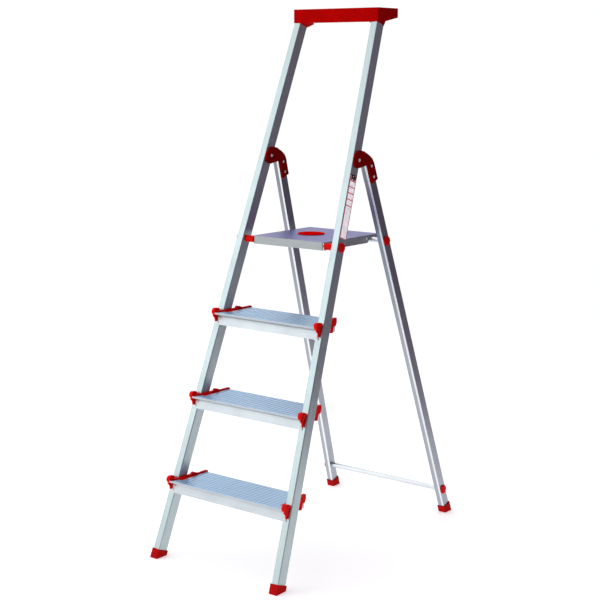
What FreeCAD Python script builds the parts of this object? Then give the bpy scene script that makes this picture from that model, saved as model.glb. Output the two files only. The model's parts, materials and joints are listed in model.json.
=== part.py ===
import FreeCAD, Part
import math
import os

import Sketcher
from FreeCAD import Placement, Rotation, Vector

# Household platform step ladder: two leaning front rails with three treads, a folding platform,
# a top tray, and a rear frame that folds on plastic hinge shells.
# World frame: +X to the right of someone facing the treads, +Y towards the rear legs, +Z up,
# origin on the floor midway between the four feet.  Millimetres.

DIMENSIONS = [
    # whole ladder
    ("total_height", 1562, "floor to the top of the tray"),
    ("platform_height", 909, "floor to the top of the platform"),
    ("first_step", 220.5, "floor to the top of the lowest tread"),
    ("rise", 235, "between tread tops"),
    ("front_line", -446, "Y of the rail front faces at the floor"),
    ("front_slope", 0.370, "rearward run of a front rail per unit of height"),
    ("rear_slope", 0.3355, "rearward run of a rear leg per unit of depth below the hinge"),
    ("rail_spread", 220, "centre plane of a front rail from the middle, at the floor"),
    ("side_slope", 0.0538, "inward run of a front rail per unit of height"),
    ("leg_side_slope", 0.0535, "inward run of a rear leg per unit of height"),
    # tubes
    ("rail_width", 23, "front rail across the front"),
    ("rail_depth", 34.6, "front rail front to back"),
    ("rail_wall", 1.6, "front rail wall"),
    ("rail_corner", 2.5, "front rail corner radius"),
    ("leg_width", 21, "rear leg across the front"),
    ("leg_depth", 30, "rear leg front to back"),
    ("leg_wall", 1.5, "rear leg wall"),
    ("leg_corner", 2.0, "rear leg corner radius"),
    ("bar_radius", 8, "crossbar tube outside radius"),
    ("bar_wall", 1.5, "crossbar wall"),
    ("lower_bar_height", 79, "floor to the lower crossbar"),
    ("upper_bar_drop", 14.5, "platform top to the upper crossbar centre"),
    # hinge
    ("hinge_height", 1136, "floor to the hinge axis"),
    ("hinge_set_back", 3, "hinge axis behind the middle of the rail"),
    ("hinge_offset", 50.4, "rear leg centre line behind the hinge axis, square to the leg"),
    ("hinge_gap", 1.4, "rail side to hinge shell"),
    ("shell_thickness", 5, "hinge shell plate"),
    ("shell_head", 23, "radius of the round head of a hinge shell"),
    ("shell_tail", 86, "hinge axis down to the end of a hinge shell, along the leg"),
    ("shell_margin", 0.4, "hinge shell past the leg, front and back"),
    ("strap_thickness", 1.5, "steel hinge strap on the other side of rail and leg"),
    ("strap_head", 14, "radius of the round head of a hinge strap"),
    ("strap_width", 20, "hinge strap along the leg"),
    ("leg_top", 32, "hinge axis down to the top of a leg, along the leg"),
    ("hinge_pin_radius", 3, "hinge pin"),
    ("washer_radius", 9, "hinge washer"),
    ("washer_thickness", 0.8, "hinge washer"),
    ("rivet_radius", 2.4, "shank of every rivet"),
    ("rivet_head", 4.4, "head radius of every rivet"),
    ("rivet_head_height", 1.3, "head height of every rivet"),
    ("leg_rivet_upper", 38, "hinge axis down to the upper leg rivet"),
    ("leg_rivet_lower", 71, "hinge axis down to the lower leg rivet"),
    # treads
    ("tread_nose", 27, "tread in front of the rail"),
    ("tread_reach", 106, "tread behind the rail front face"),
    ("tread_skirt", 37, "tread front and rear flange depth"),
    ("tread_sheet", 2.2, "tread metal"),
    ("tread_nose_height", 5, "upright front edge of a tread"),
    ("tread_fold", 14, "tread top to the start of the flange on the rail"),
    ("tread_end", 9, "flange end inside the rail outer face"),
    ("tread_shoulder", 14, "tread top end inside the rail outer face, ahead of the rail"),
    ("tread_waist", 40, "tread end inside the rail outer face, behind the rail front"),
    ("tread_rivet_upper", 19.5, "tread top to the upper rivet"),
    ("tread_rivet_lower", 31, "tread top to the lower rivet"),
    ("tread_rivet_shift", 4.5, "tread rivets inwards from the rail middle"),
    # tread end caps
    ("cap_drop", 9, "cap below the tread top"),
    ("cap_rise", 5, "cap lip above the tread top"),
    ("cap_overlap", 3, "cap lip over the tread metal"),
    ("cap_knob_radius", 10.4, "round front cheek of a cap"),
    ("cap_knob_centre", 1.6, "front cheek centre above the tread top"),
    ("cap_tip", 2.5, "front cheek inside the rail outer face"),
    ("cap_wall", 4.3, "cap tail that covers the flange end"),
    ("cap_tail", 28, "tread top to the end of the front tail"),
    ("cap_rear_inset", 33.5, "outer face of the cap behind the rail, inside the rail outer face"),
    ("cap_bump", 5.5, "raised bumps before and behind the rail"),
    # platform
    ("platform_width", 257, "platform across"),
    ("platform_length", 274, "platform front to back"),
    ("platform_skirt", 23, "platform edge height"),
    ("platform_sheet", 1.8, "platform metal"),
    ("platform_corner", 8, "platform corner radius"),
    ("platform_front", 9.5, "platform front edge ahead of its pivot"),
    ("pivot_radius", 3.5, "platform pivot pin"),
    ("spacer_radius", 9.8, "red spacer between platform and rail"),
    ("disc_radius", 40, "round inlay on the platform"),
    ("disc_height", 2.5, "inlay above the platform"),
    ("disc_shift", 19, "inlay left of the middle"),
    ("saddle_width", 12, "hook saddle along the crossbar"),
    ("saddle_half_length", 21, "hook saddle, crossbar centre to either end"),
    ("mouth_flare", 13, "forward flare of the saddle mouth"),
    ("stiffener_width", 22, "stiffener under the platform"),
    ("stiffener_depth", 9, "stiffener under the platform"),
    # tray
    ("tray_overhang", 2.4, "tray past the rail outer faces"),
    ("tray_length", 103, "tray front to back"),
    ("tray_front", 39, "tray height at the front"),
    ("tray_rear", 26, "tray height at the rear"),
    ("tray_lead", 1, "tray ahead of the rail face at the tray underside"),
    ("tray_recess", 20, "depth of the tool recess"),
    ("tray_wall", 4, "tray rim"),
    ("rail_end_gap", 1, "square rail end below the tray underside"),
    ("tray_stem", 26, "tray stem inside the rail end"),
    ("tray_screw_length", 12, "screw through the rail rear wall into the stem"),
    ("gusset_reach", 24, "tray gusset inwards from the rail"),
    ("gusset_back", 4, "tray boss behind the rail"),
    ("gusset_rise", 12, "height of the gusset slopes above the rail end"),
    # feet and plugs
    ("foot_height", 28, "foot top along the rail, from the floor"),
    ("foot_wall", 2.4, "foot wall outside the tube"),
    ("foot_sole", 17, "tube end above the floor line, along the tube"),
    ("foot_stem", 40, "foot stem inside the tube"),
    ("plug_radius", 14, "round plugs over the bar and pin ends"),
    ("plug_height", 4.5, "plug height"),
    ("plug_stem", 10, "plug stem into its tube"),
    ("label_width", 28, "guidance label"),
    ("label_front", 2.4, "guidance label behind the rail front face"),
    ("label_length", 186, "guidance label"),
    ("label_thickness", 0.4, "guidance label"),
    ("label_top", 44, "hinge axis down to the label, along the rail"),
    # fits
    ("body_gap", 0.3, "between pieces that move past each other"),
    ("running_gap", 0.06, "pin in its hole, on the radius"),
    ("seat_gap", 0.05, "fixed piece in its seat, on each side"),
    ("rail_gap", 1.2, "tread and cap cut-outs round a rail"),
]

TREAD_COUNT = 3
SIDES = (("left", -1), ("right", 1))

doc = FreeCAD.newDocument("step_ladder")
sheet = doc.addObject("Spreadsheet::Sheet", "Sizes")
for row, (alias, value, meaning) in enumerate(DIMENSIONS, start=1):
    sheet.set(f"A{row}", alias)
    sheet.set(f"B{row}", str(value))
    sheet.set(f"C{row}", meaning)
    sheet.setAlias(f"B{row}", alias)
doc.recompute()


class Size:
    """A length that carries its number and the spreadsheet formula that gives it."""

    def __init__(self, value, formula=None):
        self.value = float(value)
        self.formula = formula

    @staticmethod
    def of(other):
        return other if isinstance(other, Size) else Size(other)

    @property
    def text(self):
        return self.formula or f"({self.value!r})"

    def combine(self, other, sign, value):
        other = Size.of(other)
        if self.formula is None and other.formula is None:
            return Size(value)
        return Size(value, f"({self.text} {sign} {other.text})")

    def __add__(self, other):
        return self.combine(other, "+", self.value + Size.of(other).value)

    def __sub__(self, other):
        return self.combine(other, "-", self.value - Size.of(other).value)

    def __mul__(self, other):
        return self.combine(other, "*", self.value * Size.of(other).value)

    def __truediv__(self, other):
        return self.combine(other, "/", self.value / Size.of(other).value)

    def __neg__(self):
        return self * -1

    __radd__ = __add__
    __rmul__ = __mul__

    def __rsub__(self, other):
        return -self + other


class Sizes:
    """Every named size of the sheet as an attribute."""

    def __getattr__(self, alias):
        return Size(sheet.get(alias), f"Sizes.{alias}")


size = Sizes()
finished = []


# ---- building blocks ---------------------------------------------------------------------

def bind(target, prop, length):
    """Give a property its number, and its formula where it has one."""
    length = Size.of(length)
    if length.formula:
        target.setExpression(prop, length.formula)


def new_body(label, placement):
    body = doc.addObject("PartDesign::Body", label)
    body.Label = label
    body.Placement = placement
    finished.append(body)
    return body


def origin_plane(body, role):
    return next(item for item in body.Origin.OriginFeatures if item.Role == role)


def new_sketch(body, name, plane, offset, world):
    """A sketch on an origin plane, moved along its normal, or on a plane given in the world."""
    sketch = body.newObject("Sketcher::SketchObject", name)
    sketch.AttachmentSupport = (origin_plane(body, plane), [""])
    sketch.MapMode = "FlatFace"
    if world:
        sketch.AttachmentOffset = body.Placement.inverse() * world
        return sketch
    offset = Size.of(offset)
    sketch.AttachmentOffset = Placement(Vector(0, 0, offset.value), Rotation())
    bind(sketch, "AttachmentOffset.Base.z", offset)
    return sketch


def fix_point(sketch, geometry, point, name, x, y):
    """Hold one point of a sketch at coordinates taken from the sheet."""
    for kind, coordinate in (("DistanceX", x), ("DistanceY", y)):
        coordinate = Size.of(coordinate)
        constraint = Sketcher.Constraint(kind, -1, 1, geometry, point, coordinate.value)
        index = sketch.addConstraint(constraint)
        sketch.renameConstraint(index, f"{name}_{kind[-1].lower()}")
        bind(sketch, f"Constraints.{name}_{kind[-1].lower()}", coordinate)


def polygon(body, name, plane, points, offset=0, world=None):
    sketch = new_sketch(body, name, plane, offset, world)
    corners = [Vector(Size.of(x).value, Size.of(y).value, 0) for x, y in points]
    for start, end in zip(corners, corners[1:] + corners[:1]):
        sketch.addGeometry(Part.LineSegment(start, end))
    for index, (x, y) in enumerate(points):
        following = (index + 1) % len(points)
        sketch.addConstraint(Sketcher.Constraint("Coincident", index, 2, following, 1))
        fix_point(sketch, index, 1, f"corner{index}", x, y)
    return sketch


def rectangle(body, name, plane, x0, x1, y0, y1, offset=0, world=None):
    return polygon(body, name, plane, [(x0, y0), (x1, y0), (x1, y1), (x0, y1)], offset, world)


def circle(body, name, plane, x, y, radius, offset=0, world=None):
    sketch = new_sketch(body, name, plane, offset, world)
    radius = Size.of(radius)
    centre = Vector(Size.of(x).value, Size.of(y).value, 0)
    sketch.addGeometry(Part.Circle(centre, Vector(0, 0, 1), radius.value))
    fix_point(sketch, 0, 3, "centre", x, y)
    index = sketch.addConstraint(Sketcher.Constraint("Radius", 0, radius.value))
    sketch.renameConstraint(index, "radius")
    bind(sketch, "Constraints.radius", radius)
    return sketch


def pad(body, sketch, length):
    """Material from the sketch along its normal."""
    feature = body.newObject("PartDesign::Pad", f"{sketch.Name}_pad")
    feature.Profile = sketch
    feature.Length = Size.of(length).value
    bind(feature, "Length", length)
    return feature


def pocket(body, sketch, length):
    """Cut from the sketch against its normal, and make sure that something was cut."""
    doc.recompute()
    before = body.Shape.Volume
    feature = body.newObject("PartDesign::Pocket", f"{sketch.Name}_cut")
    feature.Profile = sketch
    feature.Length = Size.of(length).value
    bind(feature, "Length", length)
    doc.recompute()
    if body.Shape.Volume > before - 0.1:
        raise RuntimeError(f"{body.Label}: {feature.Name} cut nothing")
    return feature


def fillet(body, radius, wanted):
    """Round the edges of the body's last feature that the test accepts."""
    doc.recompute()
    base = body.Tip
    names = [f"Edge{i}" for i, edge in enumerate(base.Shape.Edges, start=1) if wanted(edge)]
    feature = body.newObject("PartDesign::Fillet", f"{body.Name}_round")
    feature.Base = (base, names)
    feature.Radius = Size.of(radius).value
    bind(feature, "Radius", radius)
    return feature


def edge_along(axis, minimum):
    """Accept straight edges along an axis that are longer than a minimum."""
    def wanted(edge):
        ends = [vertex.Point for vertex in edge.Vertexes]
        if len(ends) != 2:
            return False
        run = ends[1] - ends[0]
        return run.Length > minimum and abs(run.normalize().dot(axis)) > 0.999
    return wanted


def rod(body, name, plane, x, y, radius, start, end):
    """A round bar between two distances along a plane's normal."""
    return pad(body, circle(body, name, plane, x, y, radius, start), Size.of(end) - start)


def block(body, name, plane, points, start, end):
    """A prism between two distances along a plane's normal."""
    return pad(body, polygon(body, name, plane, points, start), Size.of(end) - start)


# ---- where things are --------------------------------------------------------------------

front_lean = math.atan(size.front_slope.value)
rear_lean = math.atan(size.rear_slope.value)
rail_taper = math.atan(size.side_slope.value * math.cos(front_lean))
leg_taper = math.atan(size.leg_side_slope.value * math.cos(rear_lean))
X_AXIS = Vector(1, 0, 0)
Y_AXIS = Vector(0, 1, 0)
Z_AXIS = Vector(0, 0, 1)
TO_FRONT = Rotation(X_AXIS, 90)
TO_REAR = Rotation(X_AXIS, -90)


def rail_front_y(height):
    """World Y of the rail front faces at a height."""
    return size.front_line + size.front_slope * height


def rail_outer_x(height):
    """World X of the outer face of the right rail at a height, at its front face."""
    return size.rail_spread - size.side_slope * height + size.rail_width / 2


def rail_frame(side):
    """Rail frame: x across, y rearwards from the front face, z up the rail from the floor."""
    turn = Rotation(X_AXIS, -math.degrees(front_lean))
    turn = turn * Rotation(Y_AXIS, -side * math.degrees(rail_taper))
    return Placement(Vector(side * size.rail_spread.value, size.front_line.value, 0), turn)


def along_rail(height, depth):
    """Distance up the rail of a point at a world height and a depth behind the front face."""
    rise = height + depth * math.sin(front_lean)
    return rise / (math.cos(front_lean) * math.cos(rail_taper))


hinge_depth = size.rail_depth / 2 + size.hinge_set_back
hinge_station = along_rail(size.hinge_height.value, hinge_depth.value)


def hinge_point(side):
    """World centre of the hinge in the rail's middle plane."""
    return rail_frame(side).multVec(Vector(0, hinge_depth.value, hinge_station))


def leg_frame(side):
    """Leg frame: x across, y rearwards, z up the leg, origin at the hinge."""
    turn = Rotation(X_AXIS, math.degrees(rear_lean))
    turn = turn * Rotation(Y_AXIS, -side * math.degrees(leg_taper))
    return Placement(hinge_point(side), turn)


def leg_station(height):
    """Distance up the leg, measured in the leg frame, of the leg centre line at a height."""
    rise = height - hinge_point(1).z - size.hinge_offset.value * math.sin(rear_lean)
    return rise / (math.cos(rear_lean) * math.cos(leg_taper))


def leg_centre(side, height):
    """World point of a leg's centre line at a height."""
    return leg_frame(side).multVec(Vector(0, size.hinge_offset.value, leg_station(height)))


pivot_height = size.platform_height - size.platform_skirt / 2
pivot_depth = size.rail_depth / 2
pivot_station = along_rail(pivot_height.value, pivot_depth.value)
pivot_point = rail_frame(1).multVec(Vector(0, pivot_depth.value, pivot_station))
upper_bar_height = size.platform_height - size.upper_bar_drop
upper_bar = leg_centre(1, upper_bar_height.value)
lower_bar = leg_centre(1, size.lower_bar_height.value)
tray_underside = size.total_height - size.tray_front
platform_frame = Placement(Vector(0, pivot_point.y, pivot_point.z), Rotation())


def across(x, y, z):
    """World plane square to X: sketch x runs along Y, sketch y along Z."""
    return Placement(Vector(x, y, z), Rotation(Y_AXIS, Z_AXIS, X_AXIS, "ZXY"))


def drill(body, name, y, z, radius, x_from, x_to):
    """A round hole along world X between two places."""
    sketch = circle(body, name, "XY_Plane", 0, 0, radius, world=across(x_to, y, z))
    return pocket(body, sketch, x_to - x_from)


# ---- front frame -------------------------------------------------------------------------

rail_top_station = along_rail(tray_underside.value - size.rail_end_gap.value, 0)


def tread_rivet_frames(number, side):
    """World frames of a tread's two rivets at one end: z points forwards out of the flange."""
    height = (size.first_step + size.rise * (number - 1)).value
    surface = -(size.tread_sheet + size.seat_gap).value
    frames = []
    for drop in (size.tread_rivet_upper, size.tread_rivet_lower):
        station = along_rail(height - drop.value, 0)
        spot = Vector(-side * size.tread_rivet_shift.value, surface, station)
        frames.append(rail_frame(side) * Placement(spot, TO_FRONT))
    return frames


def tray_screw_frame(side):
    """World frame of the tray screw in a rail's rear wall: z points out, rearwards."""
    surface = size.rail_depth + size.seat_gap
    station = rail_top_station - size.tray_stem.value / 2
    return rail_frame(side) * Placement(Vector(0, surface.value, station), TO_REAR)


def rivet_hole(body, name, frame, depth):
    """A hole for a rivet or screw, from its head down."""
    radius = size.rivet_radius + size.seat_gap
    above = frame * Placement(Vector(0, 0, 1), Rotation())
    pocket(body, circle(body, name, "XY_Plane", 0, 0, radius, world=above), depth + 1)


def make_rail(name, side):
    body = new_body(f"front_rail_{name}", rail_frame(side))
    half = size.rail_width / 2
    depth = size.rail_depth
    outline = rectangle(body, f"rail_{name}_outline", "XY_Plane", -half, half, 0, depth,
                        size.foot_sole)
    pad(body, outline, rail_top_station - size.foot_sole)
    fillet(body, size.rail_corner, edge_along(Z_AXIS, 500))
    wall = size.rail_wall
    bore = rectangle(body, f"rail_{name}_bore", "XY_Plane", wall - half, half - wall, wall,
                     depth - wall, rail_top_station + 1)
    pocket(body, bore, rail_top_station + 2 - size.foot_sole)
    reach = size.rail_width.value
    hinge = hinge_point(side)
    drill(body, f"rail_{name}_hinge_hole", hinge.y, hinge.z,
          size.hinge_pin_radius + size.seat_gap, hinge.x - reach, hinge.x + reach)
    x = side * pivot_point.x
    drill(body, f"rail_{name}_pivot_hole", pivot_point.y, pivot_point.z,
          size.pivot_radius + size.seat_gap, x - reach, x + reach)
    for number in range(1, TREAD_COUNT + 1):
        for spot, frame in zip(("upper", "lower"), tread_rivet_frames(number, side)):
            rivet_hole(body, f"rail_{name}_rivet_{number}_{spot}", frame,
                       size.tread_sheet + size.rail_wall * 2)
    rivet_hole(body, f"rail_{name}_screw_hole", tray_screw_frame(side), size.rail_wall * 3)


def make_foot(label, frame, half_width, depth, front, wall, corner_drop):
    """A boot with a flat sole: walls round the tube end and a stem inside the tube."""
    body = new_body(label, frame)
    rim = size.foot_wall
    half = half_width + rim
    outer = [(-half, front - rim), (half, front - rim), (half, front + depth + rim),
             (-half, front + depth + rim)]
    bottom = corner_drop - 15
    block(body, f"{label}_boot", "XY_Plane", outer, bottom, corner_drop + size.foot_height)
    gap = size.seat_gap
    seat = rectangle(body, f"{label}_seat", "XY_Plane", -half_width - gap, half_width + gap,
                     front - gap, front + depth + gap, corner_drop + size.foot_height)
    pocket(body, seat, size.foot_height - size.foot_sole)
    inner = wall + gap * 2
    stem = [(inner - half_width, front + inner), (half_width - inner, front + inner),
            (half_width - inner, front + depth - inner), (inner - half_width, front + depth - inner)]
    block(body, f"{label}_stem", "XY_Plane", stem, corner_drop + size.foot_sole,
          corner_drop + size.foot_sole + size.foot_stem)
    reach = 500
    floor = rectangle(body, f"{label}_floor", "XY_Plane", -reach, reach, -2 * reach, 2 * reach,
                      world=Placement())
    pocket(body, floor, reach)


def tread_profile():
    """Side view of a tread: nose, top, rear flange, and a flange that lies on the rails."""
    sheet_gauge = size.tread_sheet
    slope = size.front_slope
    nose = -size.tread_nose
    fold = -size.tread_fold
    bottom = -size.tread_skirt
    reach = size.tread_reach
    on_rail = -size.seat_gap
    return [
        (nose, 0), (reach, 0), (reach, bottom), (reach - sheet_gauge, bottom),
        (reach - sheet_gauge, -sheet_gauge), (nose + sheet_gauge + 1, -sheet_gauge),
        (nose + sheet_gauge + 1, -size.tread_nose_height),
        (slope * fold + on_rail, fold), (slope * bottom + on_rail, bottom),
        (slope * bottom + on_rail - sheet_gauge, bottom),
        (slope * fold + on_rail - sheet_gauge, fold), (nose, -size.tread_nose_height),
    ]


def make_tread(number):
    height = size.first_step + size.rise * (number - 1)
    place = Placement(Vector(0, rail_front_y(height).value, height.value), Rotation())
    body = new_body(f"tread_{number}", place)
    outer = rail_outer_x(height)
    half = outer - size.tread_end
    block(body, f"tread_{number}_profile", "YZ_Plane", tread_profile(), -half, half)
    behind = -(size.front_slope * size.tread_sheet + size.rail_gap)
    for name, side in SIDES:
        waist = rectangle(body, f"tread_{number}_waist_{name}", "XY_Plane",
                          side * (outer - size.tread_waist), side * (outer + 5), behind,
                          size.tread_reach + 5, 1)
        pocket(body, waist, size.tread_skirt + 2)
        shoulder = rectangle(body, f"tread_{number}_shoulder_{name}", "XY_Plane",
                             side * (outer - size.tread_shoulder), side * (outer + 5),
                             -size.tread_nose - 1, behind + 1, 1)
        pocket(body, shoulder, size.cap_drop + 1)
        for spot, frame in zip(("upper", "lower"), tread_rivet_frames(number, side)):
            rivet_hole(body, f"tread_{number}_rivet_{name}_{spot}", frame, size.tread_sheet + 1)


def make_cap(number, name, side):
    """Moulded end cap: lip along the tread end, front knob, and tails over the flange ends."""
    height = size.first_step + size.rise * (number - 1)
    outer = rail_outer_x(height)
    place = Placement(Vector(side * outer.value, rail_front_y(height).value, height.value),
                      Rotation())
    label = f"tread_cap_{number}_{name}"
    body = new_body(label, place)
    nose = -size.tread_nose - 1
    back = size.tread_reach + 1
    shoulder = -size.tread_shoulder
    waist = -size.tread_waist
    rail_side = -(size.rail_width + size.rail_gap)
    rear_side = -size.cap_rear_inset
    tip = -size.cap_tip
    rail_back = size.rail_depth + size.front_slope * size.rail_depth
    front_stop = -(size.front_slope * size.cap_drop + size.body_gap)
    inner_edge = waist - size.cap_overlap

    def plan(points):
        return [(x * side, y) for x, y in points]

    lip = [(shoulder, nose), (tip, nose), (tip, -1), (rail_side, -1), (rail_side, rail_back),
           (rear_side, rail_back + 15), (rear_side, back), (inner_edge, back),
           (rail_side - 5, -2)]
    block(body, f"{label}_lip", "XY_Plane", plan(lip), 0, size.cap_rise)
    end_wall = waist + size.seat_gap
    wall = [(end_wall, -1), (rail_side, -1), (rail_side, rail_back), (rear_side, rail_back + 15),
            (rear_side, back), (end_wall, back)]
    block(body, f"{label}_wall", "XY_Plane", plan(wall), -size.cap_drop, 0)
    heel_back = back - size.cap_drop / 2
    rear_tail = [(back - 44, 1 - size.cap_drop), (back, 1 - size.cap_drop),
                 (heel_back, -size.cap_drop * 2), (heel_back - 9, -size.cap_drop * 2.2),
                 (heel_back - 14, 1 - size.tread_skirt), (heel_back - 22, 1 - size.tread_skirt),
                 (heel_back - 19, -size.cap_drop * 2.2), (back - 44, -size.cap_drop * 1.6)]
    low, high = (end_wall, rear_side) if side > 0 else (-Size.of(rear_side), -Size.of(end_wall))
    block(body, f"{label}_rear_tail", "YZ_Plane", rear_tail, low, high)
    end_block = shoulder + size.seat_gap
    knob_y = nose + size.cap_knob_radius
    low, high = (end_block, tip) if side > 0 else (-Size.of(tip), -Size.of(end_block))
    rod(body, f"{label}_knob", "YZ_Plane", knob_y, size.cap_knob_centre, size.cap_knob_radius,
        low, high)
    slope = size.front_slope
    tail_end = -size.cap_tail
    tail = [(nose, 1 - size.cap_drop), (front_stop, 1 - size.cap_drop),
            (slope * tail_end - 1, tail_end), (slope * tail_end - 7, tail_end),
            (slope * tail_end - 8, tail_end / 2 - 5)]
    tail_from = -size.tread_end + size.seat_gap
    tail_to = tail_from + size.cap_wall
    start, end = (tail_from, tail_to) if side > 0 else (-tail_to, -tail_from)
    block(body, f"{label}_tail", "YZ_Plane", tail, start, end)
    bump = size.cap_bump
    top = size.cap_rise
    front_bump = [(-18, top), (-12, top + bump), (-6, top + bump), (-2, top)]
    rear_bump = [(rail_back - 2, top), (rail_back + 3, top + bump), (rail_back + 9, top + bump),
                 (rail_back + 22, top)]
    for bump_name, points, low, high in (("front", front_bump, shoulder + 2, -2),
                                         ("rear", rear_bump, waist + 1, rail_side - 3)):
        start, end = (low, high) if side > 0 else (-Size.of(high), -Size.of(low))
        block(body, f"{label}_{bump_name}_bump", "YZ_Plane", points, start, end)


def make_rivet(name, placement, length):
    """A round-headed rivet along local Z: the head sits on the surface at zero."""
    shank = doc.addObject("Part::Cylinder", f"{name}_shank")
    shank.setExpression("Radius", "Sizes.rivet_radius")
    bind(shank, "Height", length)
    shank.Placement = Placement(Vector(0, 0, -Size.of(length).value), Rotation())
    head = doc.addObject("Part::Cone", f"{name}_head")
    head.setExpression("Radius1", "Sizes.rivet_head")
    head.setExpression("Radius2", "Sizes.rivet_head * 0.6")
    head.setExpression("Height", "Sizes.rivet_head_height")
    rivet = doc.addObject("Part::MultiFuse", name)
    rivet.Shapes = [shank, head]
    rivet.Placement = placement
    return rivet


def make_group(label, members):
    group = doc.addObject("Part::Compound", label)
    group.Label = label
    group.Links = members
    finished.append(group)


def make_tread_rivets():
    length = size.tread_sheet + size.rail_wall * 2
    rivets = []
    for number in range(1, TREAD_COUNT + 1):
        for name, side in SIDES:
            for spot, frame in zip(("upper", "lower"), tread_rivet_frames(number, side)):
                rivets.append(make_rivet(f"tread_rivet_{number}_{name}_{spot}", frame, length))
    make_group("tread_rivets", rivets)


def make_tray():
    """Tool tray: its bosses carry on the square-cut rails and its stems sit inside them."""
    underside = tray_underside
    front = rail_front_y(underside) - size.tray_lead
    place = Placement(Vector(0, front.value, underside.value), Rotation())
    body = new_body("tool_tray", place)
    half = rail_outer_x(underside) + size.tray_overhang
    top = size.tray_front
    side_view = [(0, 0), (size.rail_depth + size.tray_lead, 0),
                 (size.tray_length, size.tray_front - size.tray_rear), (size.tray_length, top),
                 (0, top)]
    block(body, "tray_side_view", "YZ_Plane", side_view, -half, half)
    fillet(body, 2, edge_along(Z_AXIS, 10))
    half_rail = size.rail_width / 2
    depth = size.rail_depth
    gap = size.seat_gap
    inner = size.rail_wall + gap * 2
    back = depth + size.gusset_back
    rise = size.gusset_rise
    boss = [(0, gap), (depth, gap), (back, rise), (back, rise * 2), (rise, rise * 2)]
    for name, side in SIDES:
        end = rail_frame(side) * Placement(Vector(0, 0, rail_top_station), Rotation())
        outline = polygon(body, f"tray_boss_{name}", "XY_Plane", boss,
                          world=end * across(-half_rail.value, 0, 0))
        pad(body, outline, size.rail_width)
        face = half_rail * -side
        tip = face - size.gusset_reach * side
        gusset = [(face, gap), (tip, rise), (tip, rise + 1), (face, rise + 1)]
        outline = polygon(body, f"tray_gusset_{name}", "XY_Plane", gusset,
                          world=end * Placement(Vector(0, depth.value, 0), TO_FRONT))
        pad(body, outline, depth - 2)
        low_end = end * Placement(Vector(0, 0, -size.tray_stem.value), Rotation())
        stem = rectangle(body, f"tray_stem_{name}", "XY_Plane", inner - half_rail,
                         half_rail - inner, inner, depth - inner, world=low_end)
        pad(body, stem, size.tray_stem + 3)
        rivet_hole(body, f"tray_screw_hole_{name}", tray_screw_frame(side),
                   size.tray_screw_length + 1)
    rim = size.tray_wall
    recess = rectangle(body, "tray_recess_outline", "XY_Plane", rim - half + 32, half - rim - 32,
                       rim, size.tray_length - rim, top)
    pocket(body, recess, size.tray_recess)


def make_tray_screws():
    """One screw through the rear wall of each rail into the tray stem."""
    screws = [make_rivet(f"tray_screw_{name}", tray_screw_frame(side), size.tray_screw_length)
              for name, side in SIDES]
    make_group("tray_screws", screws)


def shell_face():
    """Outer face of a hinge shell, from the middle plane of its rail."""
    return size.rail_width / 2 + size.hinge_gap + size.shell_thickness


def strap_face():
    """Outer face of a hinge strap, from the middle plane of its rail."""
    return size.rail_width / 2 + size.hinge_gap + size.strap_thickness


def make_hinge_pin(name, side):
    centre = hinge_point(side)
    body = new_body(f"hinge_pin_{name}", Placement(centre, Rotation()))
    low = -(strap_face() + size.body_gap + 0.5)
    high = shell_face() + size.body_gap + 0.5
    rod(body, f"hinge_pin_{name}_shank", "YZ_Plane", 0, 0, size.hinge_pin_radius, low, high)
    head = size.hinge_pin_radius + 1.6
    for end, start in (("low", low - size.rivet_head_height), ("high", high)):
        rod(body, f"hinge_pin_{name}_{end}", "YZ_Plane", 0, 0, head, start,
            start + size.rivet_head_height)


def pin_station(side, x):
    """Distance up the rail where the level hinge pin passes a distance across the rail."""
    return hinge_station - side * x * math.tan(rail_taper)


def make_hinge_washers(name, side):
    """Two thin washers that keep the shells off the rail."""
    rings = []
    for place, sign in (("inner", -side), ("outer", side)):
        ring = doc.addObject("Part::Cut", f"hinge_washer_{name}_{place}")
        disc = doc.addObject("Part::Cylinder", f"washer_disc_{name}_{place}")
        disc.setExpression("Radius", "Sizes.washer_radius")
        disc.setExpression("Height", "Sizes.washer_thickness")
        hole = doc.addObject("Part::Cylinder", f"washer_hole_{name}_{place}")
        hole.setExpression("Radius", "Sizes.hinge_pin_radius + 4 * Sizes.running_gap")
        hole.setExpression("Height", "Sizes.washer_thickness")
        ring.Base = disc
        ring.Tool = hole
        face = sign * (size.rail_width.value / 2 + size.seat_gap.value)
        turn = Rotation(Y_AXIS, sign * 90)
        local = Placement(Vector(face, hinge_depth.value, pin_station(side, face)), turn)
        ring.Placement = rail_frame(side) * local
        rings.append(ring)
    make_group(f"hinge_washers_{name}", rings)


def make_spacer(name, side):
    body = new_body(f"platform_spacer_{name}", platform_frame)
    start = size.platform_width / 2 + size.body_gap
    inner_face = rail_outer_x(pivot_height) - size.rail_width - 0.9
    low, high = (start, inner_face) if side > 0 else (-inner_face, -start)
    rod(body, f"spacer_{name}", "YZ_Plane", 0, 0, size.spacer_radius, low, high)
    drill(body, f"spacer_{name}_bore", pivot_point.y, pivot_point.z,
          size.pivot_radius + size.seat_gap, -400, 400)


def make_pivot_pin(name, side):
    body = new_body(f"platform_pivot_{name}", platform_frame)
    inside = size.platform_width / 2 - size.platform_sheet - size.body_gap
    outside = rail_outer_x(pivot_height) - size.rail_wall
    low, high = (inside, outside) if side > 0 else (-outside, -inside)
    rod(body, f"pivot_{name}_shank", "YZ_Plane", 0, 0, size.pivot_radius, low, high)
    head_at = inside - 3 if side > 0 else -inside
    rod(body, f"pivot_{name}_head", "YZ_Plane", 0, 0, size.pivot_radius + 2, head_at, head_at + 3)


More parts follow.
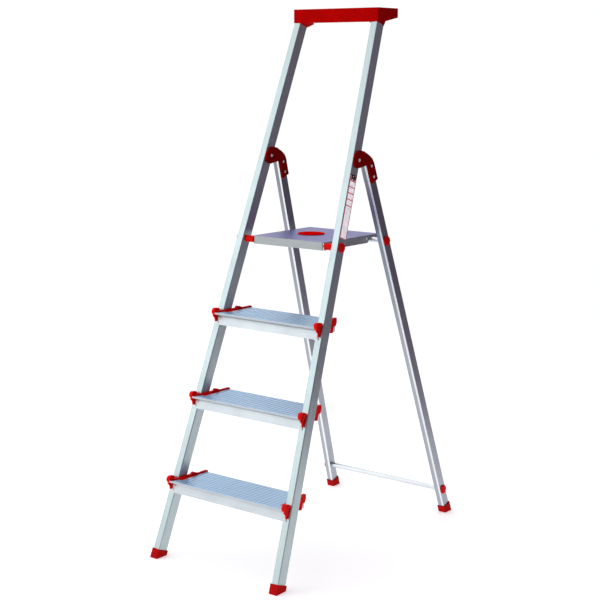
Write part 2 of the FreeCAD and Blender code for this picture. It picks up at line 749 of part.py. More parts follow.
def make_plug(label, frame, side, y, z, face, stem_radius):
    """A domed plug on the outer face of a tube, with a stem inside."""
    body = new_body(label, frame)
    start = face + size.seat_gap
    end = start + size.plug_height
    stem = start - size.plug_stem
    low, high = (start, end) if side > 0 else (-end, -start)
    rod(body, f"{label}_disc", "YZ_Plane", y, z, size.plug_radius, low, high)
    fillet(body, size.plug_height * 0.6, lambda edge: edge.Curve.TypeId == "Part::GeomCircle"
           and abs(edge.CenterOfMass.x - side * end.value) < 0.01)
    if stem_radius:
        low, high = (stem, start) if side > 0 else (-start, -stem)
        rod(body, f"{label}_stem", "YZ_Plane", y, z, stem_radius, low, high)


def make_label():
    body = new_body("guidance_label", rail_frame(1))
    face = size.rail_width / 2 + size.seat_gap
    top = hinge_station - size.label_top
    front = size.label_front
    back = front + size.label_width
    bottom = top - size.label_length
    outline = [(front, bottom), (back, bottom), (back, top), (front, top)]
    block(body, "label_outline", "YZ_Plane", outline, face, face + size.label_thickness)


# ---- rear frame --------------------------------------------------------------------------

def make_leg(name, side):
    body = new_body(f"rear_leg_{name}", leg_frame(side))
    half = size.leg_width / 2
    front = size.hinge_offset - size.leg_depth / 2
    bottom = leg_station(0) + size.foot_sole
    outline = rectangle(body, f"leg_{name}_outline", "XY_Plane", -half, half, front,
                        front + size.leg_depth, bottom)
    pad(body, outline, -size.leg_top - bottom)
    fillet(body, size.leg_corner, edge_along(Z_AXIS, 500))
    wall = size.leg_wall
    bore = rectangle(body, f"leg_{name}_bore", "XY_Plane", wall - half, half - wall, front + wall,
                     front + size.leg_depth - wall, 1 - size.leg_top)
    pocket(body, bore, 2 - size.leg_top - bottom)
    for bar, centre in (("upper", upper_bar), ("lower", lower_bar)):
        x = side * centre.x
        reach = size.leg_width.value
        drill(body, f"leg_{name}_{bar}_hole", centre.y, centre.z,
              size.bar_radius + size.seat_gap, x - reach, x + reach)
    for place, drop in (("upper", size.leg_rivet_upper), ("lower", size.leg_rivet_lower)):
        hole = circle(body, f"leg_{name}_{place}_rivet_hole", "YZ_Plane", size.hinge_offset, -drop,
                      size.rivet_radius + size.seat_gap, half + 1)
        pocket(body, hole, size.leg_width + 2)


def shell_outline():
    """Side view of a hinge shell in the leg frame, below and behind its round head."""
    front = size.hinge_offset - size.leg_depth / 2 - size.shell_margin
    back = size.hinge_offset + size.leg_depth / 2 + size.shell_margin
    head = size.shell_head
    tail = -size.shell_tail
    return [
        (0, head), (head * 0.74, head * 0.98), (head * 1.45, head * 0.56),
        (back - 14, -head * 0.26), (back - 4, -head * 0.85), (back, -head * 1.47),
        (back, tail + 2), (front, tail), (front, -head * 1.62), (front - 3, -head * 1.34),
        (front - 9, -head * 1.2), (0, -head),
    ]


def leg_pad(body, low, high):
    """Raised pad that fills the gap between a hinge plate and the leg."""
    front = size.hinge_offset - size.leg_depth / 2 + 3
    back = size.hinge_offset + size.leg_depth / 2 - 3
    top = -size.leg_top - 1
    outline = [(front, 3 - size.shell_tail), (back, 3 - size.shell_tail), (back, top),
               (front, top)]
    block(body, f"{body.Name}_pad", "YZ_Plane", outline, low, high)


def bore_hinge_plate(body, side):
    """Hinge bore and rivet holes through a hinge plate."""
    centre = hinge_point(side)
    drill(body, f"{body.Name}_bore", centre.y, centre.z,
          size.hinge_pin_radius + size.running_gap, centre.x - 40, centre.x + 40)
    for spot, drop in (("upper", size.leg_rivet_upper), ("lower", size.leg_rivet_lower)):
        hole = circle(body, f"{body.Name}_{spot}_hole", "YZ_Plane", size.hinge_offset, -drop,
                      size.rivet_radius + size.seat_gap, shell_face() + 1)
        pocket(body, hole, shell_face() * 2 + 2)


def make_shell(name, side):
    """Red hinge shell on the right-hand side of rail and leg."""
    body = new_body(f"hinge_shell_{name}", leg_frame(side))
    inner_face = size.rail_width / 2 + size.hinge_gap
    block(body, f"shell_{name}_plate", "YZ_Plane", shell_outline(), inner_face, shell_face())
    rod(body, f"shell_{name}_head", "YZ_Plane", 0, 0, size.shell_head, inner_face, shell_face())
    leg_pad(body, size.leg_width / 2 + size.seat_gap, inner_face)
    bore_hinge_plate(body, side)


def make_strap(name, side):
    """Steel hinge strap on the left-hand side of rail and leg."""
    body = new_body(f"hinge_strap_{name}", leg_frame(side))
    inner_face = size.rail_width / 2 + size.hinge_gap
    head = size.strap_head
    front = size.hinge_offset - size.strap_width / 2
    back = size.hinge_offset + size.strap_width / 2
    tail = 1 - size.shell_tail
    outline = [(0, head), (head * 0.7, head * 0.7), (back, -size.leg_top), (back, tail),
               (front, tail), (front, -size.leg_top - 8), (0, -head)]
    block(body, f"strap_{name}_plate", "YZ_Plane", outline, -strap_face(), -inner_face)
    rod(body, f"strap_{name}_head", "YZ_Plane", 0, 0, head, -strap_face(), -inner_face)
    leg_pad(body, -inner_face, -(size.leg_width / 2 + size.seat_gap))
    bore_hinge_plate(body, side)


def make_leg_rivets(name, side):
    """Two rivets through strap, leg and shell, with a head on each side."""
    rivets = []
    low = -(strap_face() + size.seat_gap)
    high = shell_face() + size.seat_gap
    for spot, drop in (("upper", size.leg_rivet_upper), ("lower", size.leg_rivet_lower)):
        rivet = f"leg_rivet_{name}_{spot}"
        shank = doc.addObject("Part::Cylinder", f"{rivet}_shank")
        shank.setExpression("Radius", "Sizes.rivet_radius")
        bind(shank, "Height", high - low)
        shank.Placement = Placement(Vector(0, 0, low.value), Rotation())
        pieces = [shank]
        for end, at, flip in (("near", high, 0), ("far", low, 180)):
            head = doc.addObject("Part::Cone", f"{rivet}_{end}")
            head.setExpression("Radius1", "Sizes.rivet_head")
            head.setExpression("Radius2", "Sizes.rivet_head * 0.6")
            head.setExpression("Height", "Sizes.rivet_head_height")
            head.Placement = Placement(Vector(0, 0, at.value), Rotation(X_AXIS, flip))
            pieces.append(head)
        fuse = doc.addObject("Part::MultiFuse", rivet)
        fuse.Shapes = pieces
        local = Placement(Vector(0, size.hinge_offset.value, -drop.value), Rotation(Y_AXIS, 90))
        fuse.Placement = leg_frame(side) * local
        rivets.append(fuse)
    make_group(f"leg_rivets_{name}", rivets)


def make_bar(label, centre):
    body = new_body(label, Placement(Vector(0, centre.y, centre.z), Rotation()))
    half = centre.x + size.leg_width.value / 2 - 1.2
    rod(body, f"{label}_tube", "YZ_Plane", 0, 0, size.bar_radius, -half, half)
    bore = circle(body, f"{label}_bore", "YZ_Plane", 0, 0, size.bar_radius - size.bar_wall,
                  half + 1)
    pocket(body, bore, 2 * half + 2)


# ---- platform ----------------------------------------------------------------------------

platform_back = size.platform_length - size.platform_front
platform_top = size.platform_skirt / 2
bar_y = upper_bar.y - pivot_point.y
bar_z = upper_bar.z - pivot_point.z
SADDLE_RIVET_Z = 2


def mouth_outline(radius):
    """Opening that lets the crossbar leave downwards and forwards."""
    below = -size.platform_skirt / 2 - 2
    shoulder = bar_z + radius * 0.36
    return [(bar_y - radius * 0.93, shoulder), (bar_y, shoulder), (bar_y + radius, bar_z),
            (bar_y + radius, below), (bar_y - radius - size.mouth_flare, below)]


def cut_bar_seat(body, label, x_low, x_high):
    """Round seat for the crossbar and the mouth below it."""
    radius = size.bar_radius + size.body_gap
    seat = circle(body, f"{label}_seat", "YZ_Plane", bar_y, bar_z, radius, x_high)
    pocket(body, seat, x_high - x_low)
    mouth = polygon(body, f"{label}_mouth", "YZ_Plane", mouth_outline(radius), x_high)
    pocket(body, mouth, x_high - x_low)


def saddle_rivet_places():
    half = size.saddle_half_length.value
    return (("front", bar_y - half - 3), ("rear", bar_y + half - 5))


def saddle_rivet_holes(body, x_high, length):
    for spot, y in saddle_rivet_places():
        hole = circle(body, f"{body.Name}_rivet_{spot}", "YZ_Plane", y, SADDLE_RIVET_Z,
                      size.rivet_radius + size.seat_gap, x_high)
        pocket(body, hole, length)


def make_platform():
    body = new_body("platform_pan", platform_frame)
    half = size.platform_width / 2
    outline = [(-half, -size.platform_front), (half, -size.platform_front), (half, platform_back),
               (-half, platform_back)]
    block(body, "pan_outline", "XY_Plane", outline, -platform_top, platform_top)
    fillet(body, size.platform_corner, edge_along(Z_AXIS, 10))
    gauge = size.platform_sheet
    inside = rectangle(body, "pan_inside", "XY_Plane", gauge - half, half - gauge,
                       gauge - size.platform_front, platform_back - gauge,
                       platform_top - gauge)
    pocket(body, inside, size.platform_skirt)
    cut_bar_seat(body, "pan", -half - 1, half + 1)
    saddle_rivet_holes(body, half + 1, size.platform_width + 2)
    drill(body, "pan_pivot_holes", pivot_point.y, pivot_point.z,
          size.pivot_radius + size.running_gap, -400, 400)


def make_disc():
    body = new_body("platform_disc", platform_frame)
    middle = platform_back - size.platform_length / 2
    start = platform_top + size.seat_gap
    rod(body, "disc_outline", "XY_Plane", -size.disc_shift, middle, size.disc_radius, start,
        start + size.disc_height)


def make_saddle(name, side):
    """Hook saddle inside the pan edge that drops over the upper crossbar."""
    body = new_body(f"hook_saddle_{name}", platform_frame)
    outer = size.platform_width / 2 - size.platform_sheet - size.seat_gap
    inner = outer - size.saddle_width
    low, high = (inner, outer) if side > 0 else (-outer, -inner)
    half = size.saddle_half_length
    roof = platform_top - size.platform_sheet - size.seat_gap
    outline = [(bar_y - half - 8, 3 - platform_top), (bar_y + half, 3 - platform_top),
               (bar_y + half, roof), (bar_y - half - 8, roof)]
    block(body, f"saddle_{name}_outline", "YZ_Plane", outline, low, high)
    cut_bar_seat(body, f"saddle_{name}", low - 1, high + 1)
    saddle_rivet_holes(body, high + 1, size.saddle_width + 2)


def make_saddle_rivets():
    rivets = []
    for name, side in SIDES:
        for spot, y in saddle_rivet_places():
            face = side * size.platform_width.value / 2
            local = Placement(Vector(face, y, SADDLE_RIVET_Z), Rotation(Y_AXIS, side * 90))
            rivets.append(make_rivet(f"saddle_rivet_{name}_{spot}", platform_frame * local,
                                     size.platform_sheet + size.saddle_width / 2))
    make_group("saddle_rivets", rivets)


def make_stiffener(number, distance):
    """Folded strip under the pan, from side to side."""
    body = new_body(f"platform_stiffener_{number}", platform_frame)
    half = size.platform_width / 2 - size.platform_sheet - 1
    roof = platform_top - size.platform_sheet - size.seat_gap
    gauge = size.platform_sheet
    wide = size.stiffener_width / 2
    low = roof - size.stiffener_depth
    channel = [(distance - wide, roof), (distance - wide, low), (distance - wide + gauge, low),
               (distance - wide + gauge, roof - gauge), (distance + wide - gauge, roof - gauge),
               (distance + wide - gauge, low), (distance + wide, low), (distance + wide, roof)]
    block(body, f"stiffener_{number}_profile", "YZ_Plane", channel, -half, half)


# ---- assembly ----------------------------------------------------------------------------

for name, side in SIDES:
    make_rail(name, side)
    make_foot(f"front_foot_{name}", rail_frame(side), size.rail_width / 2, size.rail_depth,
              Size(0), size.rail_wall, Size(0))
for number in range(1, TREAD_COUNT + 1):
    make_tread(number)
    for name, side in SIDES:
        make_cap(number, name, side)
make_tread_rivets()
make_tray()
make_tray_screws()
make_label()

for name, side in SIDES:
    make_hinge_pin(name, side)
    make_hinge_washers(name, side)
    make_spacer(name, side)
    make_pivot_pin(name, side)
    make_plug(f"rail_plug_{name}", rail_frame(side), side, size.rail_depth / 2,
              pivot_station, size.rail_width / 2, None)

for name, side in SIDES:
    make_leg(name, side)
    leg_floor = leg_station(0)
    make_foot(f"rear_foot_{name}", leg_frame(side), size.leg_width / 2, size.leg_depth,
              size.hinge_offset - size.leg_depth / 2, size.leg_wall, Size(leg_floor))
    make_shell(name, side)
    make_strap(name, side)
    make_leg_rivets(name, side)
    for bar, height in (("upper", upper_bar_height), ("lower", size.lower_bar_height)):
        make_plug(f"{bar}_bar_plug_{name}", leg_frame(side), side, size.hinge_offset,
                  leg_station(height.value), size.leg_width / 2,
                  size.bar_radius - size.bar_wall - 1)
make_bar("upper_crossbar", upper_bar)
make_bar("lower_crossbar", lower_bar)

make_platform()
make_disc()
for name, side in SIDES:
    make_saddle(name, side)
make_saddle_rivets()
for number, share in ((1, 0.25), (2, 0.55)):
    make_stiffener(number, size.platform_length * share)

# ---- checks and files --------------------------------------------------------------------

doc.recompute()
for item in doc.Objects:
    if "Invalid" in item.State or "Error" in item.State:
        raise RuntimeError(f"{item.Name} did not build: {item.State}")
for item in finished:
    if item.Shape.isNull() or not item.Shape.isValid():
        raise RuntimeError(f"{item.Label} has no valid shape")

os.makedirs("parts", exist_ok=True)
for item in finished:
    item.Shape.exportStep(f"parts/{item.Label}.step")
print(f"{len(finished)} sub-parts written")
print(f"hinge axis      Y {hinge_point(1).y:.2f}  Z {hinge_point(1).z:.2f}")
print(f"platform pivot  Y {pivot_point.y:.2f}  Z {pivot_point.z:.2f}")
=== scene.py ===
# %% [markdown]
# # A folding platform step ladder
# The ladder stands in metres, with +Z up, +Y from the treads towards the rear legs and the floor
# at zero. The measured model is loaded first and stays as it is: it fixes every size and every
# joint. This lesson gives it its looks. Moulded and folded pieces are copied from the measured
# shapes and get rounded edges, the grip ribs are modelled new, and every surface
# gets a finish built from shader nodes.

# %% Load the measured model
import json
import math

import bmesh
import bpy
from mathutils import Euler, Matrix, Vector


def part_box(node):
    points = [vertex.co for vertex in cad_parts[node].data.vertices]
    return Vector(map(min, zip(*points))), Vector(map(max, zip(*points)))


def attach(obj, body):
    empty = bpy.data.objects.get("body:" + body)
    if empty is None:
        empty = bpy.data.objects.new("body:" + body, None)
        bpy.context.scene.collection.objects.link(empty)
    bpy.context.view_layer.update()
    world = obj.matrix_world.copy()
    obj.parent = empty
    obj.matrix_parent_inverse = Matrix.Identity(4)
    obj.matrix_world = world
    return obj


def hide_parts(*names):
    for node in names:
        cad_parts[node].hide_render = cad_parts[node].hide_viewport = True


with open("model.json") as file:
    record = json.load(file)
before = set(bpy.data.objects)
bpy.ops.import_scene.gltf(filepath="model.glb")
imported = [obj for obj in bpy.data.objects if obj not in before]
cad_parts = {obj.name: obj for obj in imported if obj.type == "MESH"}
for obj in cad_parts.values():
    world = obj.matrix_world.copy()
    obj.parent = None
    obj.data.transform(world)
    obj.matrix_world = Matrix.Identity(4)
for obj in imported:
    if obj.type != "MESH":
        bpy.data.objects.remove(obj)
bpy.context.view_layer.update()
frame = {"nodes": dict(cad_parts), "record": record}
nodes = frame["nodes"]
body_of = {node: body for body, members in frame["record"]["behaviour"]["bodies"].items()
           for node in members}
print(len(nodes), "measured pieces on the bodies", sorted(set(body_of.values())))

# %% [markdown]
# ## Camera
# A long lens from a few metres away keeps the rails almost parallel, as in a catalogue view. The
# camera stands to the right of the treads, a little below the top tray, and looks slightly down.

# %% Camera
CAMERA_PLACE = (2.3463, -3.0913, 1.3968)
CAMERA_TURN = (80.067, -0.172, 37.642)
CAMERA_LENS = 80.18

camera = bpy.data.objects.new("camera", bpy.data.cameras.new("camera"))
camera.location = CAMERA_PLACE
camera.rotation_euler = Euler([math.radians(angle) for angle in CAMERA_TURN], "XYZ")
camera.data.lens = CAMERA_LENS
camera.data.sensor_width = 36.0
bpy.context.scene.collection.objects.link(camera)
bpy.context.scene.camera = camera
bpy.context.scene.view_settings.view_transform = "Standard"
print("camera", [round(v, 2) for v in camera.location])

# %% [markdown]
# ## Writing shader maths as sums
# A finish is a small network of nodes. Wiring each one by hand hides the idea behind plumbing, so
# two short classes do it. A `Wire` is one output socket that can be added, taken away and
# multiplied like a number, and each sign adds the Math node it stands for. A `Finish` owns one
# material and adds any other node from its type, its settings and its inputs.

# %% Wire and Finish
class Wire:
    """One output socket that takes part in sums."""

    def __init__(self, finish, socket):
        self.finish = finish
        self.socket = socket

    def math(self, operation, *values):
        return self.finish.node("ShaderNodeMath", {"operation": operation},
                                dict(enumerate(values)))

    def __add__(self, other):
        return self.math("ADD", self, other)

    def __sub__(self, other):
        return self.math("SUBTRACT", self, other)

    def __mul__(self, other):
        return self.math("MULTIPLY", self, other)

    def __rsub__(self, other):
        return self.math("SUBTRACT", other, self)

    def __gt__(self, other):
        return self.math("GREATER_THAN", self, other)

    def __lt__(self, other):
        return self.math("LESS_THAN", self, other)

    __radd__ = __add__
    __rmul__ = __mul__

    def __abs__(self):
        return self.math("ABSOLUTE", self)

    def fraction(self):
        return self.math("FRACT", self)

    def ramp(self, low, high, to_low=0.0, to_high=1.0):
        """Goes evenly from to_low to to_high while this value goes from low to high."""
        values = {"Value": self, "From Min": low, "From Max": high, "To Min": to_low,
                  "To Max": to_high}
        return self.finish.node("ShaderNodeMapRange", {"clamp": True}, values)


class Finish:
    """One material, or the room, with one shader and the ways to add nodes to it."""

    def __init__(self, name, shader="ShaderNodeBsdfPrincipled", owner=None):
        self.data = owner or bpy.data.materials.new(name)
        self.data.use_nodes = True
        self.tree = self.data.node_tree
        self.tree.nodes.clear()
        self.shader = self.tree.nodes.new(shader)
        kind = "ShaderNodeOutputWorld" if owner else "ShaderNodeOutputMaterial"
        output = self.tree.nodes.new(kind)
        self.tree.links.new(self.shader.outputs[0], output.inputs["Surface"])

    def set(self, node, values):
        for key, value in values.items():
            if isinstance(value, Wire):
                self.tree.links.new(value.socket, node.inputs[key])
            else:
                node.inputs[key].default_value = value

    def node(self, kind, settings=None, values=None, output=0):
        made = self.tree.nodes.new(kind)
        for key, value in (settings or {}).items():
            setattr(made, key, value)
        self.set(made, values or {})
        return Wire(self, made.outputs[output])

    def shade(self, **values):
        self.set(self.shader, {key.replace("_", " "): value for key, value in values.items()})

    def place(self):
        return self.node("ShaderNodeTexCoord", output="Object")

    def dot(self, vector, direction):
        values = {0: vector, 1: tuple(direction)}
        return self.node("ShaderNodeVectorMath", {"operation": "DOT_PRODUCT"}, values, "Value")

    def drawn(self, vector, direction, stretch=0.02):
        """Squeezes a place along a direction, so that noise on it becomes long lines."""
        far = self.dot(vector, direction) * (1 - stretch)
        along = self.node("ShaderNodeVectorMath", {"operation": "SCALE"},
                          {0: tuple(direction), "Scale": far})
        return self.node("ShaderNodeVectorMath", {"operation": "SUBTRACT"}, {0: vector, 1: along})

    def noise(self, vector, size, detail=3.0):
        """Even noise whose largest spots are about this many metres across."""
        values = {"Vector": vector, "Scale": 1 / size, "Detail": detail, "Roughness": 0.55}
        return self.node("ShaderNodeTexNoise", None, values)

    def blend(self, mask, a, b):
        """Mixes two colours: the first where the mask is 0, the second where it is 1."""
        a, b = (colour if isinstance(colour, Wire) else (*colour, 1.0) for colour in (a, b))
        return self.node("ShaderNodeMix", {"data_type": "RGBA"}, {0: mask, 6: a, 7: b}, 2)

    def bump(self, height, depth, strength=1.0):
        values = {"Height": height, "Distance": depth, "Strength": strength}
        return self.node("ShaderNodeBump", None, values)


print("helpers ready")

# %% [markdown]
# ## Room and lamps
# Bare metal shows little of its own: it shows the room. One big soft lamp at the front left is what
# the front faces mirror, so they come out almost white. The room on the right is left dim and
# slightly violet, and that is what the sides of the tubes mirror. Painting shade on the tubes would
# be quicker, but it would not move as the ladder turns, so the room does the work.

# %% Room and lamps
def soft_lamp(name, place, aim, size, watts, colour):
    lamp = bpy.data.lights.new(name, "AREA")
    lamp.shape = "RECTANGLE"
    lamp.size, lamp.size_y = size
    lamp.energy = watts
    lamp.color = colour
    holder = bpy.data.objects.new(name, lamp)
    holder.location = place
    holder.rotation_euler = (Vector(aim) - Vector(place)).to_track_quat("-Z", "Y").to_euler()
    bpy.context.scene.collection.objects.link(holder)


WHITE = (1.0, 1.0, 1.0)
DIM_VIOLET = (0.17, 0.13, 0.17)

soft_lamp("front_lamp", (-2.9, -3.6, 2.6), (0, 0, 0.8), (3.6, 3.0), 30, (0.93, 1.0, 1.0))
soft_lamp("top_lamp", (-0.6, 0.4, 4.2), (0, 0, 0), (4.0, 4.0), 30, (0.97, 0.98, 1.0))

room = bpy.data.worlds.new("room")
bpy.context.scene.world = room
air = Finish("room", "ShaderNodeBackground", room)
direction = air.node("ShaderNodeTexCoord", output="Generated")
dim_side = air.dot(direction, (1.0, 0.0, 0.0)).ramp(-0.35, 0.40)
air.set(air.shader, {"Color": air.blend(dim_side, WHITE, DIM_VIOLET), "Strength": 1.02})
print("room and two soft lamps")

# %% [markdown]
# ## Floor
# The ladder stands on a plain pale floor. A flat circle is enough, since nothing of it shows but
# its brightness and the soft shadow under the feet. A faint glow of its own keeps it as bright as
# the room, and it ends on the right, where the sides of the rails should find the dim room instead.

# %% Floor
FLOOR_RADIUS = 3.0
FLOOR_CENTRE = (-1.7, 0.3, 0.0)

floor_mesh = bmesh.new()
bmesh.ops.create_circle(floor_mesh, cap_ends=True, segments=96, radius=FLOOR_RADIUS)
floor_data = bpy.data.meshes.new("floor")
floor_mesh.to_mesh(floor_data)
floor_mesh.free()
floor = bpy.data.objects.new("floor", floor_data)
floor.location = FLOOR_CENTRE
bpy.context.scene.collection.objects.link(floor)
floor_paint = Finish("floor_paint")
floor_paint.shade(Base_Color=(0.90, 0.90, 0.90, 1), Roughness=0.9, Specular_IOR_Level=0.1,
                  Emission_Color=(1, 1, 1, 1), Emission_Strength=0.45)
floor_data.materials.append(floor_paint.data)
print("floor radius", FLOOR_RADIUS, "m")

# %% [markdown]
# ## Aluminium
# The tubes are extruded and anodised: the die leaves fine lines along the whole length, and the
# satin film evens out the shine. Each tube leans a different way, so the finish is a function of
# the direction that its lines follow. The lines are noise on coordinates that are squeezed along
# that direction. A picture of brushed metal would need unwrapped tubes, and noise needs nothing.
# Fingermarks are wider, softer patches that only change the roughness.

# %% Drawn aluminium finish
def drawn_aluminium(name, along, colour, shine=0.34, metal=0.9, line=0.0016, depth=0.00004,
                    tone=None):
    """Satin metal with lines along one direction; tone(finish, place, base) recolours parts, for the
    rear legs with painted shade and a painted highlight.
    """
    metal_finish = Finish(name)
    place = metal_finish.place()
    lines = metal_finish.noise(metal_finish.drawn(place, Vector(along).normalized()), line)
    marks = metal_finish.noise(place, 0.06, 4.0)
    grain = metal_finish.noise(place, 0.0009, 2.0)
    dark = tuple(c * 0.90 for c in colour)
    light = tuple(min(1.0, c * 1.05) for c in colour)
    base = metal_finish.blend(lines.ramp(0.3, 0.7), dark, light)
    if tone:
        base = tone(metal_finish, place, base)
    metal_finish.shade(
        Base_Color=base, Metallic=metal,
        Roughness=marks.ramp(0.35, 0.7, shine - 0.03, shine + 0.05) + lines * 0.06,
        Normal=metal_finish.bump(lines * 0.8 + grain * 0.2, depth))
    return metal_finish.data


# %% [markdown]
# ## Rails and legs
# The two front rails lean back and towards each other, and the two rear legs lean the other way.
# Their measured meshes are long plain boxes already, so they only take a finish, drawn along each
# tube. The rear legs are a thinner tube, with painted shade near the hinge, standing in for the
# hinge's shadow, and a painted highlight down one front corner. Both are masks on places measured
# along the tube's own directions, so they stay on it when the ladder folds.

# %% Rails and legs
FRONT_LEAN = 0.370
SIDE_LEAN = 0.0538
REAR_LEAN = 0.3355
SILVER = (0.49, 0.58, 0.595)
LEG_SILVER = (0.44, 0.47, 0.53)
# Painted shade for the rear legs near the hinge:
HINGE_SHADE_SILVER = (0.21, 0.22, 0.26)
# Painted highlight down one front corner of the rear legs:
HIGHLIGHT_SILVER = (0.86, 0.89, 0.89)
HINGE_HEIGHT = 1.136
# Height where the painted shade on the rear legs starts:
HINGE_SHADE_FROM_HEIGHT = 0.55
# Width of the painted highlight strip:
HIGHLIGHT_STRIP_WIDTH = 0.0065


def leg_shade_and_highlight(node, side):
    """Painted shade towards the hinge, with a painted highlight strip down one front corner."""
    across = Vector((1, 0, side * SIDE_LEAN)).normalized()
    rearwards = Vector((0, 1, REAR_LEAN)).normalized()
    corners = [vertex.co for vertex in nodes[node].data.vertices]
    right = max(corner.dot(across) for corner in corners)
    front = min(corner.dot(rearwards) for corner in corners)

    def tone(finish, place, base):
        # Painted shade: the leg gets darker towards the hinge, standing in for the hinge's shadow.
        height = finish.dot(place, (0, 0, 1)) + finish.noise(place, 0.25, 2.0) * 0.1
        hinge_shade = height.ramp(HINGE_SHADE_FROM_HEIGHT, HINGE_HEIGHT, 0.15, 0.85)
        hinge_shaded = finish.blend(hinge_shade, base, HINGE_SHADE_SILVER)
        # Painted highlight: a bright strip down the front corner of the tube.
        edge = right - HIGHLIGHT_STRIP_WIDTH
        beside = finish.dot(place, across).ramp(edge - 0.0015, edge)
        on_front = finish.dot(place, rearwards) < front + 0.0008
        return finish.blend(beside * on_front, hinge_shaded, HIGHLIGHT_SILVER)

    return tone


for side, name in ((-1, "left"), (1, "right")):
    leg = f"rear_leg_{name}"
    for node, along, colour, tone in (
            (f"front_rail_{name}", (-side * SIDE_LEAN, FRONT_LEAN, 1), SILVER, None),
            (leg, (side * SIDE_LEAN, REAR_LEAN, -1), LEG_SILVER, leg_shade_and_highlight(leg, side))):
        nodes[node].data.materials.clear()
        nodes[node].data.materials.append(
            drawn_aluminium(f"drawn_{node}", along, colour, tone=tone))
print("drawn tubes: rails and legs")

# %% [markdown]
# ## Rounded copies
# The measured pieces have sharp edges. Real ones never do: a moulded cap is rounded by its tool
# and a folded sheet by its bend, and a rounded edge catches the light. A copy of the measured mesh
# is welded, its flat faces are joined up, and the edges that turn sharply get a bevel. Weighted
# normals keep the large faces looking flat beside their rounded edges.

# %% Rounded copies of measured pieces
SHADE_SHARP_ANGLE = 38
ROUND_EDGE_ANGLE = 30
FLAT_ANGLE = 0.8
WELD_DISTANCE = 2e-6


def show(mesh, name, node, *finishes):
    """Makes an object of a bmesh that stands for a measured piece and moves with its body."""
    data = bpy.data.meshes.new(name)
    mesh.to_mesh(data)
    mesh.free()
    data.shade_smooth()
    data.set_sharp_from_angle(angle=math.radians(SHADE_SHARP_ANGLE))
    for finish in finishes:
        data.materials.append(finish)
    piece = bpy.data.objects.new(name, data)
    bpy.context.scene.collection.objects.link(piece)
    keep_flat = piece.modifiers.new("keep_flat", "WEIGHTED_NORMAL")
    keep_flat.keep_sharp = True
    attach(piece, body_of[node])
    return piece


def welded(node):
    """A copy of a measured mesh without its stored normals and without doubled corners."""
    mesh = bmesh.new()
    mesh.from_mesh(nodes[node].data)
    for layer in list(mesh.loops.layers.float_vector):
        mesh.loops.layers.float_vector.remove(layer)
    bmesh.ops.remove_doubles(mesh, verts=mesh.verts, dist=WELD_DISTANCE)
    bmesh.ops.dissolve_limit(mesh, angle_limit=math.radians(FLAT_ANGLE), verts=mesh.verts,
                             edges=mesh.edges)
    return mesh


def sharp_edges(mesh):
    turn = math.radians(ROUND_EDGE_ANGLE)
    return [edge for edge in mesh.edges
            if len(edge.link_faces) == 2 and edge.calc_face_angle() > turn]


def rounded(node, radius, segments, *finishes, paint=None):
    """Shows a measured piece with rounded edges; paint(face) gives the finish of a face."""
    mesh = welded(node)
    bmesh.ops.bevel(mesh, geom=sharp_edges(mesh), offset=radius, offset_type="OFFSET",
                    segments=segments, profile=0.5, affect="EDGES", clamp_overlap=True,
                    material=-1)
    if paint:
        for face in mesh.faces:
            face.material_index = paint(face)
    print(node, "rounded,", len(mesh.faces), "faces")
    piece = show(mesh, f"{node}_shaped", node, *finishes)
    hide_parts(node)


# %% [markdown]
# ## Red mouldings
# Caps, spacers, plugs, feet, tray and hinge shells are injection-moulded plastic in one family of
# reds. Under a lamp such plastic is even in colour, with a fine spark-eroded grain, slightly
# polished where hands and boots rub it. The grain is tiny noise in the bump, and slow noise moves
# both the colour and the roughness a little.

# %% Moulded plastic
def moulded(name, colour, rough=0.42, grain=0.0007, scuff=0.5, gloss=0.04):
    """Moulded plastic: slow change of tone, fine grain and short rubbed scratches."""
    plastic = Finish(name)
    place = plastic.place()
    slow = plastic.noise(place, 0.035, 3.0)
    fine = plastic.noise(place, grain, 2.0)
    rubbed = plastic.noise(plastic.drawn(place, Vector((0.3, 0.8, 0.5)).normalized(), 0.08),
                           0.004, 3.0)
    scratches = (rubbed > 0.70) * scuff
    deep = tuple(c * 0.84 for c in colour)
    pale = tuple(min(1.0, c * 1.08) for c in colour)
    plastic.shade(
        Base_Color=plastic.blend(slow.ramp(0.3, 0.7), deep, pale),
        Roughness=slow.ramp(0.3, 0.7, rough - 0.05, rough + 0.07) + scratches * 0.15,
        Specular_IOR_Level=gloss,
        Normal=plastic.bump(fine + scratches * 0.3, 0.00006))
    return plastic.data


red = moulded("red_moulding", (0.90, 0.003, 0.003))
disc_red = moulded("disc_moulding", (0.80, 0.002, 0.002), rough=0.85, gloss=0.0)
tray_red = moulded("tray_moulding", (0.56, 0.0, 0.0), rough=0.46, grain=0.0009, gloss=0.01)
shell_red = moulded("shell_moulding", (0.33, 0.0, 0.0), rough=0.36, gloss=0.01)
boot_red = moulded("boot_rubber", (0.52, 0.003, 0.004), rough=0.6, grain=0.0012)
black = moulded("dark_moulding", (0.045, 0.045, 0.05), rough=0.5, gloss=0.3)
washer_white = moulded("washer_nylon", (0.72, 0.72, 0.68), rough=0.4, gloss=0.4)
print("moulded finishes: 7")

# %% [markdown]
# ## Fixings, bars and mouldings
# Rivets, pins and screws are pale bright dots against the red: a nearly white metal with little
# mirror in it stays bright at any angle, where polished steel would turn dark. The two crossbars and
# the hinge straps are drawn aluminium again. Every moulding and fixing then goes through the same
# rounding. A foot or a plug is softened by two or three millimetres, a strap or a washer hardly at
# all, so a table holds each kind with its own radius.

# %% Bright metals
rivet_metal = drawn_aluminium("rivet_steel", (1, 0, 0), (1.0, 0.90, 0.90), shine=0.45, metal=0.1,
                              line=0.004)
bar_metal = drawn_aluminium("bar_drawn", (1, 0, 0), (0.78, 0.82, 0.85), shine=0.36)
print("bright metals:", rivet_metal.name, "and", bar_metal.name)

